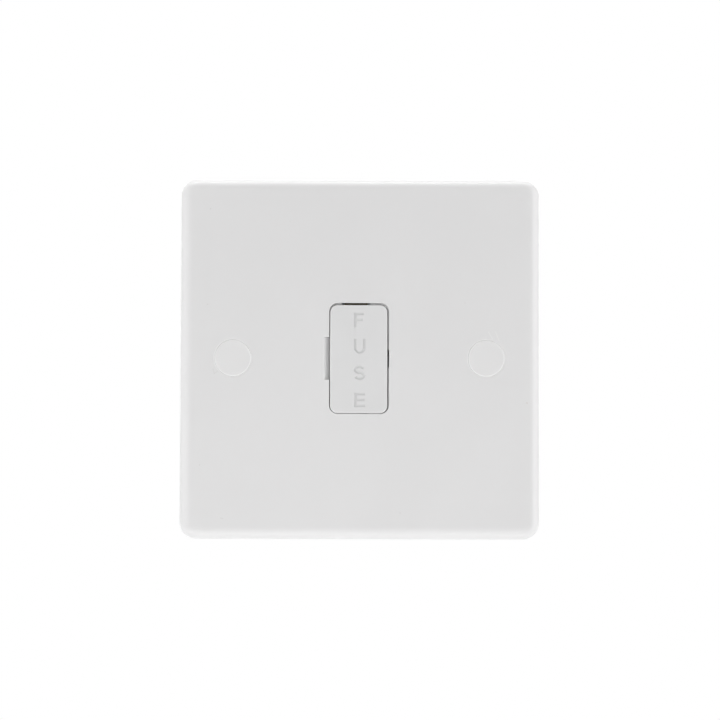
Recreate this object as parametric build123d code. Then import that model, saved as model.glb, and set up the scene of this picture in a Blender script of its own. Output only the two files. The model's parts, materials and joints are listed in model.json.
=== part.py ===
"""Fused spur unit: a white moulded plate with a pull-out fuse drawer, for a single-gang wall box.

The origin is the plate's centre on the wall. X runs to the right, Z runs up, and the face looks along -Y.
All sizes are in millimetres and all angles in degrees.
"""

import os

from build123d import *

# Front plate
plate_size = 86.0
plate_rise = 9.0
plate_corner_r = 4.0
plate_draft = 2.0
plate_edge_r = 2.6
face_wall = 2.2
skirt_wall = 2.0
inner_edge_r = 1.0

# Fixing holes and their push-in caps
fixing_centres = 60.3
fixing_hole_d = 4.0
fixing_floor = 3.2
counterbore_d = 8.76
boss_wall = 2.0
cap_gap = 0.03
cap_proud = 0.12
cap_disc = 1.2
cap_skirt = 1.4
cap_skirt_wall = 0.8
cap_skirt_inset = 0.2
cap_rib_count = 4
cap_rib_w = 0.8
cap_rib_gap = 0.02
cap_edge_r = 0.15

# Cartridge fuse
fuse_length = 25.4
fuse_d = 6.35
fuse_cap_length = 5.3
fuse_cap_wall = 0.35
fuse_barrel_d = 5.9
fuse_edge_r = 0.3

# Fuse drawer
drawer_w = 13.65
drawer_end_gap = 0.225
drawer_corner_r = 1.8
drawer_edge_r = 0.25
drawer_face = 2.6
drawer_shift = -0.1
drawer_sag = 0.2
fuse_offset = 0.75
fuse_set_back = 12.0
fuse_show = 0.825
web_wall = 1.3
web_inset = 0.1
web_height = 21.0
saddle_count = 3
saddle_pitch = 5.4
saddle_wall = 1.4
saddle_gap = 0.05
saddle_mouth = 5.0
lever_lip = 1.1
lever_groove = 1.0
lever_groove_depth = 0.8
lever_groove_height = 9.0

# Snap tongue that keeps the drawer captive
tongue_w = 3.6
tongue_slit = 0.6
tongue_length = 9.4
hook_length = 2.2
hook_flat = 0.7
hook_reach = 1.1
stop_gap = 0.1
tail_lip = 0.2

# Mouth and pocket that the drawer runs in
mouth_shift = -0.125
mouth_gap_x = 0.3
mouth_gap_z = 0.285
mouth_corner_r = 2.07
mouth_depth = 0.85
pocket_gap = 0.1
pocket_wall = 1.5
pocket_overrun = 1.0
tongue_slot_gap = 0.25
notch_w = 1.12
notch_height = 10.2
notch_shallow = 0.15
notch_depth = 1.2

# Brass strip, clips and pillar terminals
strip_t = 0.6
strip_w = 5.6
strip_slot_gap = 0.5
strip_bend_r = 0.6
link_w = 5.0
clip_gap = 0.1
clip_length = 4.3
clip_inset = 0.6
clip_jaw = 2.3
clip_flare = 0.5
clip_step = 2.375
riser_gap = 0.2
block_w = 8.0
block_height = 9.0
block_depth = 9.0
block_chamfer = 0.4
wire_hole_d = 4.2
wire_front_wall = 1.0
rivet_d = 2.4
rivet_head_d = 3.4
rivet_head = 0.5
rivet_edge_r = 0.3
rivet_offset = 2.2
strip_end = 3.0

# Terminal screws
screw_d = 3.5
thread_gap = 0.05
screw_tip_gap = 0.3
clamp_left = 1.0
screw_head_d = 5.8
screw_head = 2.0
screw_head_gap = 0.1
screw_slot_w = 1.0
screw_slot_depth = 1.1
screw_chamfer = 0.4
access_gap = 0.4

# Earth strap eyelet on the right-hand fixing boss
eyelet_d = 10.0
eyelet_sunk = 0.2
branch_gap = 0.25

# Rear housing
housing_wall = 1.6
housing_floor = 2.0
housing_corner_r = 3.0
housing_edge_r = 1.0
head_recess = 0.9
cell_gap = 0.15
cell_wall = 1.2
cell_front_gap = 0.1
panel_w = 34.0
panel_height = 25.0
panel_corner_r = 2.0
panel_depth = 0.4
barrier_t = 1.0
barrier_reach = 1.0
barrier_gap = 0.5
entry_d = 5.4
entry_chamfer = 0.6
locating_gap = 0.15
locating_rib_w = 1.2
locating_rib_height = 1.5
holding_rib_w = 4.6
holding_rib_t = 1.6
holding_gap = 0.1
boss_rib_t = 1.6
boss_rib_height = 4.0
branch_slot_gap = 0.5

# Housing screws and the posts they bite into
post_d = 5.6
post_gap = 0.35
post_short = 3.5
post_seat_gap = 0.1
tube_wall = 0.5
self_tapper_d = 2.9
self_tapper_gap = 0.05
self_tapper_hole_gap = 0.2
self_tapper_bite = 7.0
self_tapper_head_d = 4.8
self_tapper_head = 1.7
self_tapper_sunk = 0.9
self_tapper_head_gap = 0.2
self_tapper_point = 0.7
self_tapper_dome = 0.8
pilot_over = 1.0
cross_w = 0.7
cross_reach = 1.4
cross_depth = 1.0

# How far a cutting solid runs past the surface that it cuts
cut_over = 1.0

# Places along Y, from the face back to the rear of the housing
face_y = -plate_rise
back_y = face_y + face_wall
ledge_y = face_y + mouth_depth
fuse_y = face_y + fuse_set_back
travel = fuse_set_back + fuse_d / 2 + fuse_show
hook_y = ledge_y + travel + stop_gap
tail_y = hook_y + hook_length + tail_lip
pocket_y = tail_y + pocket_overrun
clip_y = fuse_y + fuse_d / 2 + clip_gap + strip_t / 2
strip_y = clip_y - clip_step
block_y = strip_y + strip_t / 2
wire_y = block_y + wire_front_wall + wire_hole_d / 2
seat_y = block_y + block_depth
tip_y = wire_y + wire_hole_d / 2 + screw_tip_gap
screw_travel = wire_hole_d + screw_tip_gap - clamp_left
head_y = seat_y + screw_travel + screw_head_gap
rear_y = head_y + screw_head + head_recess
floor_y = rear_y - housing_floor
cell_y = block_y + cell_front_gap
post_y = seat_y - post_short
tapper_head_y = rear_y - self_tapper_sunk - self_tapper_head
eyelet_y = -eyelet_sunk - strip_t / 2
boss_y = eyelet_y - strip_t / 2
cap_y = face_y - cap_proud
cap_rear_y = cap_y + cap_disc + cap_skirt
counterbore_y = boss_y - fixing_floor

# Places along X
mouth_x = mouth_shift
drawer_x = mouth_x + drawer_shift
fuse_x = drawer_x - fuse_offset
web_x = drawer_w / 2 - web_inset
cell_side = cell_gap + cell_wall
column_x = block_w + 2 * cell_side + post_d + 2 * post_gap
post_x = column_x / 2
housing_x = column_x + block_w / 2 + cell_gap + housing_wall
branch_x = housing_x + branch_gap + strip_t / 2
fixing_x = fixing_centres / 2

# Places along Z
drawer_z = -drawer_sag
drawer_height = fuse_length + 2 * drawer_end_gap
pocket_end_z = drawer_height / 2 + pocket_gap + pocket_wall + drawer_sag
riser_z = pocket_end_z + riser_gap + strip_t / 2
block_inner_z = riser_z + strip_t / 2 + riser_gap
block_z = block_inner_z + block_height / 2
block_outer_z = block_inner_z + block_height
housing_z = block_outer_z + cell_gap + housing_wall

# Columns of terminals, left to right as seen from the front
columns = {"neutral": -column_x, "live": 0.0, "earth": column_x}
rows = {"load": 1, "supply": -1}


def between(outline, front, rear):
    """Solid with an outline in X and Z, from the Y of its front to the Y of its rear."""
    return extrude(Plane.XZ.offset(-rear) * outline, amount=rear - front, dir=(0, -1, 0))


def upright(outline, bottom, top):
    """Solid with an outline in X and Y, from its lowest Z to its highest."""
    return extrude(Plane.XY.offset(bottom) * outline, amount=top - bottom, dir=(0, 0, 1))


def sideways(outline, left, right):
    """Solid with an outline in Y and Z, from its lowest X to its highest."""
    return extrude(Plane.YZ.offset(left) * outline, amount=right - left, dir=(1, 0, 0))


def box_from(x_ends, z_ends):
    """Rectangle in X and Z given by its ends."""
    width = x_ends[1] - x_ends[0]
    height = z_ends[1] - z_ends[0]
    return Pos((x_ends[0] + x_ends[1]) / 2, (z_ends[0] + z_ends[1]) / 2) * Rectangle(width, height)


def outer_edges_at(solid, end):
    """Edges round the outside of the face that lies furthest to the front (0) or rear (-1)."""
    return solid.faces().sort_by(Axis.Y)[end].outer_wire().edges()


def plate_shell():
    """The visible shell: a drafted square with a rounded front edge, hollow behind."""
    outline = RectangleRounded(plate_size, plate_size, plate_corner_r)
    shell = extrude(Plane.XZ * outline, amount=plate_rise, taper=plate_draft)
    shell = fillet(outer_edges_at(shell, 0), plate_edge_r)
    inner_size = plate_size - 2 * skirt_wall
    inner_outline = RectangleRounded(inner_size, inner_size, plate_corner_r - skirt_wall / 2)
    hollow = extrude(Plane.XZ * inner_outline, amount=plate_rise - face_wall, taper=plate_draft)
    hollow = fillet(outer_edges_at(hollow, 0), inner_edge_r)
    return shell - hollow


def pocket_outline(grow):
    """Outline round the drawer's running space, grown by a distance."""
    size = (drawer_w + 2 * pocket_gap + 2 * grow, drawer_height + 2 * pocket_gap + 2 * grow)
    return Pos(drawer_x, drawer_z) * RectangleRounded(*size, drawer_corner_r + pocket_gap + grow)


def plate_mouldings():
    """Pocket, posts, ribs and bosses behind the face."""
    mouldings = between(pocket_outline(pocket_wall), back_y, pocket_y)
    for side in (-1, 1):
        boss = Pos(side * fixing_x, 0) * Circle(counterbore_d / 2 + boss_wall)
        mouldings += between(boss, back_y, boss_y)
        ring_x = housing_x + locating_gap
        skirt_x = plate_size / 2 - skirt_wall
        rib = box_from(sorted((side * ring_x, side * skirt_x)), (-boss_rib_t / 2, boss_rib_t / 2))
        mouldings += between(rib, back_y, back_y + boss_rib_height)
        for row in (-1, 1):
            post = Pos(side * post_x, row * block_z) * Circle(post_d / 2)
            mouldings += between(post, back_y, post_y)
    ring_w = 2 * (housing_x + locating_gap)
    ring_height = 2 * (housing_z + locating_gap)
    ring = RectangleRounded(ring_w + 2 * locating_rib_w, ring_height + 2 * locating_rib_w,
                            housing_corner_r + locating_rib_w)
    ring -= RectangleRounded(ring_w, ring_height, housing_corner_r)
    mouldings += between(ring, back_y, back_y + locating_rib_height)
    return mouldings + holding_ribs()


def holding_ribs():
    """Ribs that keep each terminal down in its cell."""
    ribs = Part()
    for x in columns.values():
        for row in (-1, 1):
            rib = Pos(x, row * (block_z + rivet_offset)) * Rectangle(holding_rib_w, holding_rib_t)
            ribs += between(rib, back_y, strip_y - strip_t / 2 - holding_gap)
    return ribs


def lever_notch():
    """Ramp beside the mouth for the tip of a screwdriver."""
    side_x = mouth_x - drawer_w / 2 - mouth_gap_x
    foot_x = drawer_x - drawer_w / 2 - pocket_gap
    foot_y = face_y + notch_depth
    ramp = Polygon(
        (side_x - notch_w, face_y - cut_over),
        (side_x - notch_w, face_y + notch_shallow),
        (side_x, foot_y),
        (foot_x, foot_y),
        (foot_x, face_y - cut_over),
        align=None,
    )
    return upright(ramp, -notch_height / 2, notch_height / 2)


def front_plate():
    """The plate with its mouth, pocket slots, fixing holes and post holes cut."""
    plate = plate_shell() + plate_mouldings()
    mouth_w = drawer_w + 2 * mouth_gap_x
    mouth_height = drawer_height + 2 * mouth_gap_z
    mouth = Pos(mouth_x, 0) * RectangleRounded(mouth_w, mouth_height, mouth_corner_r)
    plate -= between(mouth, face_y - cut_over, ledge_y)
    plate -= between(pocket_outline(0), face_y, pocket_y)
    strip_slot = Pos(fuse_x, 0) * Rectangle(strip_w + 2 * strip_slot_gap, 2 * (pocket_end_z + cut_over))
    plate -= between(strip_slot, ledge_y, pocket_y)
    hook_slot = box_from(
        (drawer_x, drawer_x + drawer_w / 2 + pocket_gap + pocket_wall + cut_over),
        (-tongue_w / 2 - tongue_slot_gap, tongue_w / 2 + tongue_slot_gap),
    )
    plate -= between(hook_slot, ledge_y, pocket_y)
    for side in (-1, 1):
        place = Pos(side * fixing_x, 0)
        plate -= between(place * Circle(counterbore_d / 2), face_y - cut_over, counterbore_y)
        plate -= between(place * Circle(fixing_hole_d / 2), counterbore_y, boss_y)
        for row in (-1, 1):
            pilot = Pos(side * post_x, row * block_z) * Circle(self_tapper_d / 2 + self_tapper_gap)
            plate -= between(pilot, post_y - self_tapper_bite - pilot_over, post_y)
    return plate - lever_notch()


def screw_cap(side):
    """Round push-in cap with a short skirt and crush ribs."""
    disc_r = counterbore_d / 2 - cap_gap
    skirt_r = disc_r - cap_skirt_inset
    disc_rear = cap_y + cap_disc
    disc = between(Circle(disc_r), cap_y, disc_rear)
    disc = fillet(outer_edges_at(disc, 0), cap_edge_r)
    skirt = between(Circle(skirt_r) - Circle(skirt_r - cap_skirt_wall), disc_rear, cap_rear_y)
    rib_r = counterbore_d / 2 - cap_rib_gap
    rib_band = Circle(rib_r) - Circle(skirt_r - cap_skirt_wall / 2)
    rib_bar = Pos((skirt_r + rib_r) / 2, 0) * Rectangle(2 * cap_skirt_wall, cap_rib_w)
    ribs = PolarLocations(0, cap_rib_count, start_angle=45) * (rib_band & rib_bar)
    cap = disc + skirt
    for rib in ribs:
        cap += between(rib, disc_rear, cap_rear_y)
    return Pos(side * fixing_x, 0, 0) * cap


def fuse_place():
    """Centre of the cartridge fuse, which stands upright in the drawer."""
    return Pos(fuse_x, fuse_y, drawer_z)


def fuse_barrel():
    """Ceramic barrel, necked at both ends where the caps fit."""
    body_half = fuse_length / 2 - fuse_cap_length
    barrel = upright(Circle(fuse_barrel_d / 2), -body_half, body_half)
    neck_half = fuse_length / 2 - fuse_cap_wall
    neck_r = fuse_d / 2 - fuse_cap_wall
    return fuse_place() * (barrel + upright(Circle(neck_r), -neck_half, neck_half))


def fuse_cap(row):
    """Pressed end cap of the fuse."""
    outer_z = fuse_length / 2
    cap = upright(Circle(fuse_d / 2), outer_z - fuse_cap_length, outer_z)
    cap = fillet(cap.edges().sort_by(Axis.Z)[-1], fuse_edge_r)
    neck_r = fuse_d / 2 - fuse_cap_wall
    cap -= upright(Circle(neck_r), outer_z - fuse_cap_length, outer_z - fuse_cap_wall)
    if row < 0:
        cap = mirror(cap, about=Plane.XY)
    return fuse_place() * cap


def saddle():
    """One of the drawer's C-shaped saddle ribs, open to the left where the fuse snaps out."""
    plate = box_between(-web_x, web_x, face_y + drawer_face / 2, tail_y)
    ring = Pos(-fuse_offset, fuse_y) * Circle(fuse_barrel_d / 2 + saddle_gap)
    mouth_half = saddle_mouth / 2
    mouth = box_between(-web_x - cut_over, -fuse_offset, fuse_y - mouth_half, fuse_y + mouth_half)
    return plate - ring - mouth


def box_between(left, right, front, rear):
    """Rectangle in X and Y given by its ends."""
    return Pos((left + right) / 2, (front + rear) / 2) * Rectangle(right - left, rear - front)


def drawer_body():
    """Webs and saddles behind the drawer's face, centred on the drawer."""
    web_front = face_y + drawer_face / 2
    web_half = web_height / 2
    fuse_front = fuse_y - fuse_d / 2 - saddle_gap
    body = upright(box_between(-web_x, -web_x + web_wall, web_front, fuse_front), -web_half, web_half)
    body += upright(box_between(web_x - web_wall, web_x, web_front, fuse_front), -web_half, web_half)
    saddle_half = saddle_pitch * (saddle_count - 1) / 2 + saddle_wall / 2
    body += upright(box_between(web_x - web_wall, web_x, web_front, tail_y), -saddle_half, saddle_half)
    rail_front = fuse_y + saddle_mouth / 2
    body += upright(box_between(-web_x, -web_x + web_wall, rail_front, tail_y), -saddle_half, saddle_half)
    for index in range(saddle_count):
        z = saddle_pitch * (index - (saddle_count - 1) / 2)
        body += upright(saddle(), z - saddle_wall / 2, z + saddle_wall / 2)
    return body


def tongue_cuts():
    """Slits that free the snap tongue, which is level with the mouth's middle, from the right-hand web."""
    root_y = tail_y - tongue_length
    inner_x = web_x - web_wall
    half = tongue_w / 2 + tongue_slit
    around = box_between(inner_x - tongue_slit, web_x + cut_over, root_y, tail_y + cut_over)
    kept = box_between(inner_x, web_x + cut_over, root_y, tail_y + cut_over)
    cuts = upright(around, -half, half) - upright(kept, -tongue_w / 2, tongue_w / 2)
    return Pos(0, 0, -drawer_z) * cuts


def hook():
    """Catch on the tongue: a square stop in front and a ramp behind."""
    ramp = Polygon(
        (web_x, hook_y),
        (web_x + hook_reach, hook_y),
        (web_x + hook_reach, hook_y + hook_flat),
        (web_x, hook_y + hook_length),
        align=None,
    )
    return Pos(0, 0, -drawer_z) * upright(ramp, -tongue_w / 2, tongue_w / 2)


def fuse_carrier():
    """The drawer, moulded in one piece: face, webs, saddles and snap tongue."""
    face = between(RectangleRounded(drawer_w, drawer_height, drawer_corner_r), face_y, face_y + drawer_face)
    face = fillet(outer_edges_at(face, 0), drawer_edge_r)
    groove_y = face_y + lever_lip
    groove = box_between(-drawer_w / 2 - cut_over, -drawer_w / 2 + lever_groove_depth, groove_y,
                         groove_y + lever_groove)
    carrier = face + drawer_body() - tongue_cuts() + hook()
    carrier -= upright(groove, -lever_groove_height / 2, lever_groove_height / 2)
    return Pos(drawer_x, 0, drawer_z) * carrier


def fuse_clip(row):
    """Brass clip: a sprung U round the fuse's end cap, with a strap folded onto the live terminal."""
    inner_r = fuse_d / 2 + clip_gap
    outer_r = inner_r + strip_t
    jaws = Circle(outer_r) + box_between(-outer_r, outer_r, -clip_jaw, 0)
    jaws -= Circle(inner_r) + box_between(-inner_r, inner_r, -outer_r - cut_over, 0)
    for side in (-1, 1):
        root = (side * (inner_r + strip_t / 2), -clip_jaw)
        end = (side * (outer_r + clip_flare), -clip_jaw - clip_flare)
        jaws += trace(Line(root, end), strip_t)
    outer_z = drawer_height / 2 - clip_inset
    clip = Pos(fuse_x, fuse_y, 0) * upright(jaws, outer_z - clip_length, outer_z)
    route = FilletPolyline(
        (clip_y, outer_z - clip_length),
        (clip_y, riser_z),
        (strip_y, riser_z),
        (strip_y, block_z + strip_end),
        radius=strip_bend_r,
    )
    strap = sideways(trace(route, strip_t), fuse_x - strip_w / 2, fuse_x + strip_w / 2)
    rivet = Pos(0, block_z - rivet_offset) * Circle(rivet_d / 2)
    rivet_hole = between(rivet, strip_y - strip_t, strip_y + strip_t)
    clip += strap - rivet_hole
    if row < 0:
        clip = mirror(clip, about=Plane.XY)
    return clip


def terminal(x, row):
    """Brass pillar terminal with its wire hole, threaded hole and rivet."""
    block = between(Rectangle(block_w, block_height), block_y, seat_y)
    block = chamfer(block.edges(), block_chamfer)
    block -= Pos(0, wire_y, 0) * Cylinder(wire_hole_d / 2, block_height + 2 * cut_over)
    block -= between(Circle(screw_d / 2 + thread_gap), wire_y, seat_y + cut_over)
    rivet = Pos(0, -rivet_offset)
    strip_front = strip_y - strip_t / 2
    block += between(rivet * Circle(rivet_d / 2), strip_front, block_y)
    head = between(rivet * Circle(rivet_head_d / 2), strip_front - rivet_head, strip_front)
    block += fillet(outer_edges_at(head, 0), rivet_edge_r)
    block = Pos(0, 0, block_z) * block
    if row < 0:
        block = mirror(block, about=Plane.XY)
    return Pos(x, 0, 0) * block


def terminal_screw(x, row):
    """Slotted cheese-head screw, backed off so that a wire can go in."""
    shank = between(Circle(screw_d / 2), tip_y, head_y)
    shank = chamfer(shank.edges().sort_by(Axis.Y)[0], screw_chamfer)
    head = between(Circle(screw_head_d / 2), head_y, head_y + screw_head)
    head = fillet(outer_edges_at(head, -1), screw_chamfer)
    slot_floor = head_y + screw_head - screw_slot_depth
    outline = Rectangle(screw_head_d + cut_over, screw_slot_w)
    slot = between(outline, slot_floor, head_y + screw_head + cut_over)
    return Pos(x, 0, row * block_z) * (shank + head - slot)


def link_strip(x):
    """Flat brass strip over both terminals of one column, with a hole for each rivet."""
    strip_half = block_z + strip_end
    outline = Pos(x, 0) * RectangleRounded(link_w, 2 * strip_half, strip_bend_r)
    for row in (-1, 1):
        outline -= Pos(x, row * (block_z - rivet_offset)) * Circle(rivet_d / 2)
    return between(outline, strip_y - strip_t / 2, strip_y + strip_t / 2)


def earth_strap():
    """Link between the earth terminals with a branch folded down to an eyelet on the fixing boss."""
    eyelet_edge_x = fixing_x - fixing_hole_d
    route = FilletPolyline(
        (column_x, strip_y),
        (branch_x, strip_y),
        (branch_x, eyelet_y),
        (eyelet_edge_x, eyelet_y),
        radius=strip_bend_r,
    )
    branch = upright(trace(route, strip_t), -link_w / 2, link_w / 2)
    eyelet = Pos(fixing_x, 0) * Circle(eyelet_d / 2)
    eyelet += box_from((eyelet_edge_x, fixing_x), (-link_w / 2, link_w / 2))
    eyelet -= Pos(fixing_x, 0) * Circle(fixing_hole_d / 2)
    return link_strip(column_x) + branch + between(eyelet, boss_y, -eyelet_sunk)


def terminal_cells():
    """Cells that hold the terminals, each with a seat for the block's rear face."""
    cells = Part()
    for name, x in columns.items():
        inner_wall = 0 if name == "live" else cell_wall
        inner_z = block_inner_z - cell_gap - inner_wall
        half_w = block_w / 2 + cell_side
        for row in (-1, 1):
            z_ends = sorted((row * inner_z, row * (block_outer_z + cell_gap + housing_wall / 2)))
            cell = box_from((x - half_w, x + half_w), z_ends)
            cells += between(cell, cell_y, floor_y + housing_floor / 2)
    return cells


def terminal_hollows():
    """Spaces for the terminal blocks, cut from the cells."""
    hollows = Part()
    for name, x in columns.items():
        reach = cell_wall if name == "live" else 0
        half_w = block_w / 2 + cell_gap
        for row in (-1, 1):
            z_ends = sorted((row * (block_inner_z - cell_gap - reach), row * (block_outer_z + cell_gap)))
            hollows += between(box_from((x - half_w, x + half_w), z_ends), cell_y - cut_over, seat_y)
    return hollows


def wire_barriers():
    """Low fins on both end walls that keep the wires of neighbouring terminals apart."""
    barriers = Part()
    front = back_y + locating_rib_height + barrier_gap
    for side in (-1, 1):
        x_ends = (side * post_x - barrier_t / 2, side * post_x + barrier_t / 2)
        for row in (-1, 1):
            z_ends = sorted((row * (housing_z - housing_wall / 2), row * (housing_z + barrier_reach)))
            barriers += between(box_from(x_ends, z_ends), front, rear_y - housing_edge_r)
    return barriers


def rear_housing():
    """Tub behind the plate, with terminal cells, screw tubes, wire entries and screw access holes."""
    outline = RectangleRounded(2 * housing_x, 2 * housing_z, housing_corner_r)
    shell = between(outline, back_y, rear_y)
    shell = fillet(outer_edges_at(shell, -1), housing_edge_r)
    inner = RectangleRounded(2 * (housing_x - housing_wall), 2 * (housing_z - housing_wall),
                             housing_corner_r - housing_wall)
    housing = shell - between(inner, back_y, floor_y) + terminal_cells() + wire_barriers()
    panel = RectangleRounded(panel_w, panel_height, panel_corner_r)
    housing -= between(panel, rear_y - panel_depth, rear_y + cut_over)
    tube = Circle(post_d / 2 + tube_wall)
    for side in (-1, 1):
        for row in (-1, 1):
            place = Pos(side * post_x, row * block_z)
            housing += between(place * tube, post_y + post_seat_gap, floor_y + housing_floor / 2)
    housing -= terminal_hollows()
    for side in (-1, 1):
        for row in (-1, 1):
            place = Pos(side * post_x, row * block_z)
            hole_r = self_tapper_d / 2 + self_tapper_hole_gap
            sink_r = self_tapper_head_d / 2 + self_tapper_head_gap
            housing -= between(place * Circle(hole_r), post_y, rear_y + cut_over)
            housing -= between(place * Circle(sink_r), tapper_head_y, rear_y + cut_over)
    for x in columns.values():
        for row in (-1, 1):
            access = Pos(x, row * block_z) * Circle(screw_head_d / 2 + access_gap)
            housing -= between(access, seat_y - cut_over, rear_y + cut_over)
            housing -= wire_entry(x, row)
    half_branch = link_w / 2 + branch_slot_gap
    wall_ends = (housing_x - housing_wall - cut_over, housing_x + cut_over)
    notch = box_from(wall_ends, (-half_branch, half_branch))
    return housing - between(notch, back_y - cut_over, strip_y + strip_t / 2 + branch_slot_gap)


def wire_entry(x, row):
    """Hole through the housing's end wall, flared outside to guide the wire."""
    bore = Pos(x, wire_y, housing_z - housing_wall / 2) * Cylinder(entry_d / 2, 2 * housing_wall)
    flare_z = housing_z - entry_chamfer / 2
    flare = Pos(x, wire_y, flare_z) * Cone(entry_d / 2, entry_d / 2 + entry_chamfer, entry_chamfer)
    entry = bore + flare
    if row < 0:
        entry = mirror(entry, about=Plane.XY)
    return entry


def housing_screw(side, row):
    """Self-tapping pan-head screw with a cross recess."""
    tip = post_y - self_tapper_bite
    shank = between(Circle(self_tapper_d / 2), tip, tapper_head_y)
    shank = chamfer(shank.edges().sort_by(Axis.Y)[0], self_tapper_point)
    head = between(Circle(self_tapper_head_d / 2), tapper_head_y, tapper_head_y + self_tapper_head)
    head = fillet(outer_edges_at(head, -1), self_tapper_dome)
    cross = Rectangle(2 * cross_reach, cross_w) + Rectangle(cross_w, 2 * cross_reach)
    cross_floor = tapper_head_y + self_tapper_head - cross_depth
    recess = between(cross, cross_floor, tapper_head_y + self_tapper_head + cut_over)
    return Pos(side * post_x, 0, row * block_z) * (shank + head - recess)


def all_parts():
    """Every piece by its name."""
    parts = {
        "front_plate": front_plate(),
        "screw_cap_left": screw_cap(-1),
        "screw_cap_right": screw_cap(1),
        "fuse_carrier": fuse_carrier(),
        "fuse_barrel": fuse_barrel(),
        "fuse_cap_upper": fuse_cap(1),
        "fuse_cap_lower": fuse_cap(-1),
        "fuse_clip_upper": fuse_clip(1),
        "fuse_clip_lower": fuse_clip(-1),
        "neutral_link": link_strip(columns["neutral"]),
        "earth_strap": earth_strap(),
        "rear_housing": rear_housing(),
    }
    for column, x in columns.items():
        for end, row in rows.items():
            parts[f"{column}_{end}_terminal"] = terminal(x, row)
            parts[f"{column}_{end}_screw"] = terminal_screw(x, row)
    corners = {"upper_left": (-1, 1), "upper_right": (1, 1), "lower_left": (-1, -1), "lower_right": (1, -1)}
    for corner, (side, row) in corners.items():
        parts[f"housing_screw_{corner}"] = housing_screw(side, row)
    return parts


os.makedirs("parts", exist_ok=True)
for name, shape in all_parts().items():
    export_step(shape, f"parts/{name}.step")
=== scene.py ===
import json
import math
import bmesh
import bpy
from mathutils import Matrix, Vector


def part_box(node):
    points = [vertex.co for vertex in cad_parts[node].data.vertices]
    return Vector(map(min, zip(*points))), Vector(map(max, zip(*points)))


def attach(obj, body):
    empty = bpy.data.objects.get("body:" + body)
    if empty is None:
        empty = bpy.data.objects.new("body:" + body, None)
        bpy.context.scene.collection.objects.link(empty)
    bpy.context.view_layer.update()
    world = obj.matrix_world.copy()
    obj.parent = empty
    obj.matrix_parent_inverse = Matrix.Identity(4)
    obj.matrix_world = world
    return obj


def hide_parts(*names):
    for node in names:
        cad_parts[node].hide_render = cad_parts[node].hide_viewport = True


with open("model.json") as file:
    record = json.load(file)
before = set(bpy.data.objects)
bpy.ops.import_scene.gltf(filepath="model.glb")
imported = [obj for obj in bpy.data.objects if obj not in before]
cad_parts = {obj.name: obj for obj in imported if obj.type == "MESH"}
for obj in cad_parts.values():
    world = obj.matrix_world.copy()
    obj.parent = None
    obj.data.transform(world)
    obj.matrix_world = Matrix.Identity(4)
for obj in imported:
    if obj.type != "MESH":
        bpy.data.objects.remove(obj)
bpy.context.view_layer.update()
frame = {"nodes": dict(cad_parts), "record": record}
mm = 0.001
nodes = frame["nodes"]
bodyOf = {node: body for body, members in frame["record"]["behaviour"]["bodies"].items() for node in members}
slotOf = {part["node"]: part["material_slot"] for part in frame["record"]["subparts"]}
print("fused spur unit: frame loaded,", len(nodes), "pieces")


# Small helpers for objects and node trees

def addObject(name, data):
    thing = bpy.data.objects.new(name, data)
    bpy.context.scene.collection.objects.link(thing)
    return thing


def addNode(tree, kind, values=None, **settings):
    node = tree.nodes.new(kind)
    for name, value in settings.items():
        setattr(node, name, value)
    for key, value in (values or {}).items():
        node.inputs[key].default_value = value
    return node


def mathNode(tree, operation, first, second=None, clamp=False):
    node = addNode(tree, "ShaderNodeMath", operation=operation, use_clamp=clamp)
    for index, value in enumerate((first, second)):
        if value is None:
            continue
        if isinstance(value, (int, float)):
            node.inputs[index].default_value = value
        else:
            tree.links.new(value, node.inputs[index])
    return node.outputs[0]


def product(tree, first, *others):
    for value in others:
        first = mathNode(tree, "MULTIPLY", first, value)
    return first


def objectPlace(tree):
    return addNode(tree, "ShaderNodeTexCoord").outputs["Object"]


def placeParts(tree):
    parts = addNode(tree, "ShaderNodeSeparateXYZ")
    tree.links.new(objectPlace(tree), parts.inputs["Vector"])
    return parts.outputs


def flatPlace(tree, parts):
    # The place on the front, with its depth left out
    flat = addNode(tree, "ShaderNodeCombineXYZ")
    tree.links.new(parts["X"], flat.inputs["X"])
    tree.links.new(parts["Z"], flat.inputs["Z"])
    return flat.outputs["Vector"]


def rampNode(tree, source, low, high, outLow=0.0, outHigh=1.0):
    limits = {"From Min": low, "From Max": high, "To Min": outLow, "To Max": outHigh}
    node = addNode(tree, "ShaderNodeMapRange", limits, interpolation_type="SMOOTHSTEP", clamp=True)
    tree.links.new(source, node.inputs["Value"])
    return node.outputs["Result"]


def mixColour(tree, factor, first, second):
    node = addNode(tree, "ShaderNodeMix", data_type="RGBA")
    for socket, value in (("Factor", factor), ("A", first), ("B", second)):
        target = [s for s in node.inputs if s.name == socket and s.enabled][0]
        if isinstance(value, (int, float)):
            target.default_value = value
        elif isinstance(value, (tuple, list)):
            target.default_value = (*value, 1.0)
        else:
            tree.links.new(value, target)
    return [s for s in node.outputs if s.enabled][0]


def newGroup(name, inputs, outputs):
    group = bpy.data.node_groups.new(name, "ShaderNodeTree")
    for label, value in inputs.items():
        kind = "NodeSocketVector" if isinstance(value, tuple) else "NodeSocketFloat"
        socket = group.interface.new_socket(label, in_out="INPUT", socket_type=kind)
        socket.default_value = value
    for label, kind in outputs.items():
        group.interface.new_socket(label, in_out="OUTPUT", socket_type=kind)
    return group, group.nodes.new("NodeGroupInput"), group.nodes.new("NodeGroupOutput")


def useGroup(tree, group, **values):
    node = addNode(tree, "ShaderNodeGroup", node_tree=group)
    for label, value in values.items():
        node.inputs[label].default_value = value
    return node


# Shared surface effects

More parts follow.
